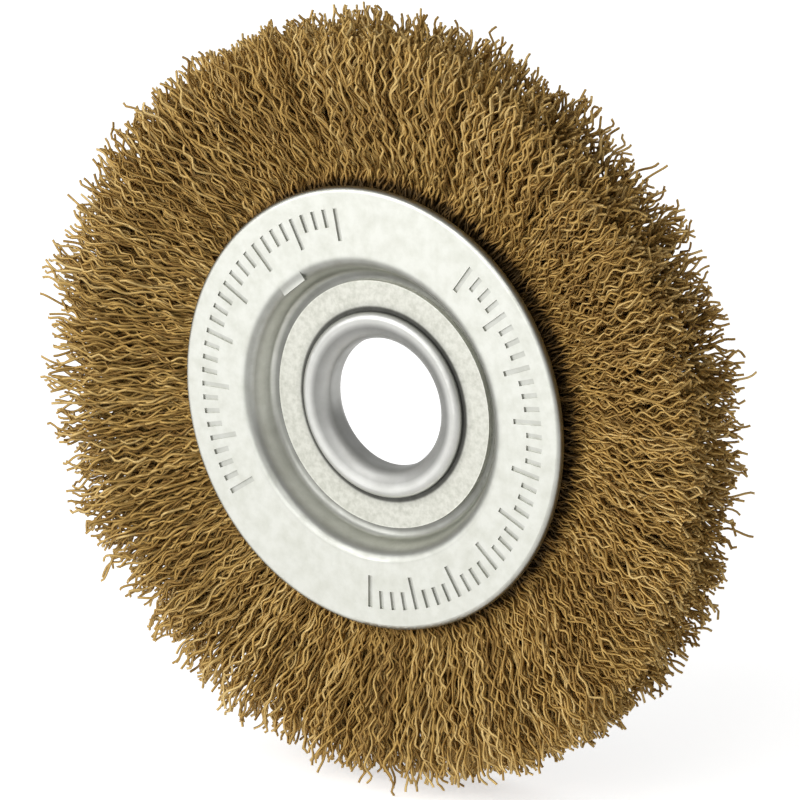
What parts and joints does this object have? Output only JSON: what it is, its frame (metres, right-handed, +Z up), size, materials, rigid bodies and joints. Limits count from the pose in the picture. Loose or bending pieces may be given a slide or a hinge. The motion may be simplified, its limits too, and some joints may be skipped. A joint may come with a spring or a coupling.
{
  "type": "wire wheel brush",
  "caption": "Crimped brass-coated wire wheel brush with dished zinc-plated side plates and a rolled hub sleeve, clamped on a half-inch grinder arbor.",
  "frame": {"origin": "middle of the arbor bore, on the wheel's mid-plane", "axes": "Y along the wheel's axis with the marked front looking along -Y, +Z up, +X to the right of the front"},
  "size_m": [0.076, 0.0124, 0.076],
  "materials": {
    "zinc_plate": "pressed sheet, bright zinc plated",
    "washer_steel": "zinc plated, grainy and matt",
    "sleeve_steel": "rolled tube, zinc plated, smooth",
    "keeper_steel": "bare mild steel wire",
    "brass_wire": "crimped steel wire with a brass coat"
  },
  "bodies": {
    "root": {"front_plate": "zinc_plate", "rear_plate": "zinc_plate", "front_hub_washer": "washer_steel", "rear_hub_washer": "washer_steel", "hub_sleeve": "sleeve_steel", "keeper_ring": "keeper_steel", "wire_tuft_01": "brass_wire", "wire_tuft_02": "brass_wire", "wire_tuft_03": "brass_wire", "wire_tuft_04": "brass_wire", "wire_tuft_05": "brass_wire", "wire_tuft_06": "brass_wire", "wire_tuft_07": "brass_wire", "wire_tuft_08": "brass_wire", "wire_tuft_09": "brass_wire", "wire_tuft_10": "brass_wire", "wire_tuft_11": "brass_wire", "wire_tuft_12": "brass_wire", "wire_tuft_13": "brass_wire", "wire_tuft_14": "brass_wire", "wire_tuft_15": "brass_wire", "wire_tuft_16": "brass_wire", "wire_tuft_17": "brass_wire", "wire_tuft_18": "brass_wire", "wire_tuft_19": "brass_wire", "wire_tuft_20": "brass_wire", "wire_tuft_21": "brass_wire", "wire_tuft_22": "brass_wire", "wire_tuft_23": "brass_wire", "wire_tuft_24": "brass_wire", "wire_tuft_25": "brass_wire", "wire_tuft_26": "brass_wire", "wire_tuft_27": "brass_wire", "wire_tuft_28": "brass_wire", "wire_tuft_29": "brass_wire", "wire_tuft_30": "brass_wire", "wire_tuft_31": "brass_wire", "wire_tuft_32": "brass_wire", "wire_tuft_33": "brass_wire", "wire_tuft_34": "brass_wire", "wire_tuft_35": "brass_wire", "wire_tuft_36": "brass_wire", "wire_tuft_37": "brass_wire", "wire_tuft_38": "brass_wire", "wire_tuft_39": "brass_wire", "wire_tuft_40": "brass_wire", "wire_tuft_41": "brass_wire", "wire_tuft_42": "brass_wire", "wire_tuft_43": "brass_wire", "wire_tuft_44": "brass_wire", "wire_tuft_45": "brass_wire", "wire_tuft_46": "brass_wire", "wire_tuft_47": "brass_wire", "wire_tuft_48": "brass_wire"}
  },
  "joints": []
}
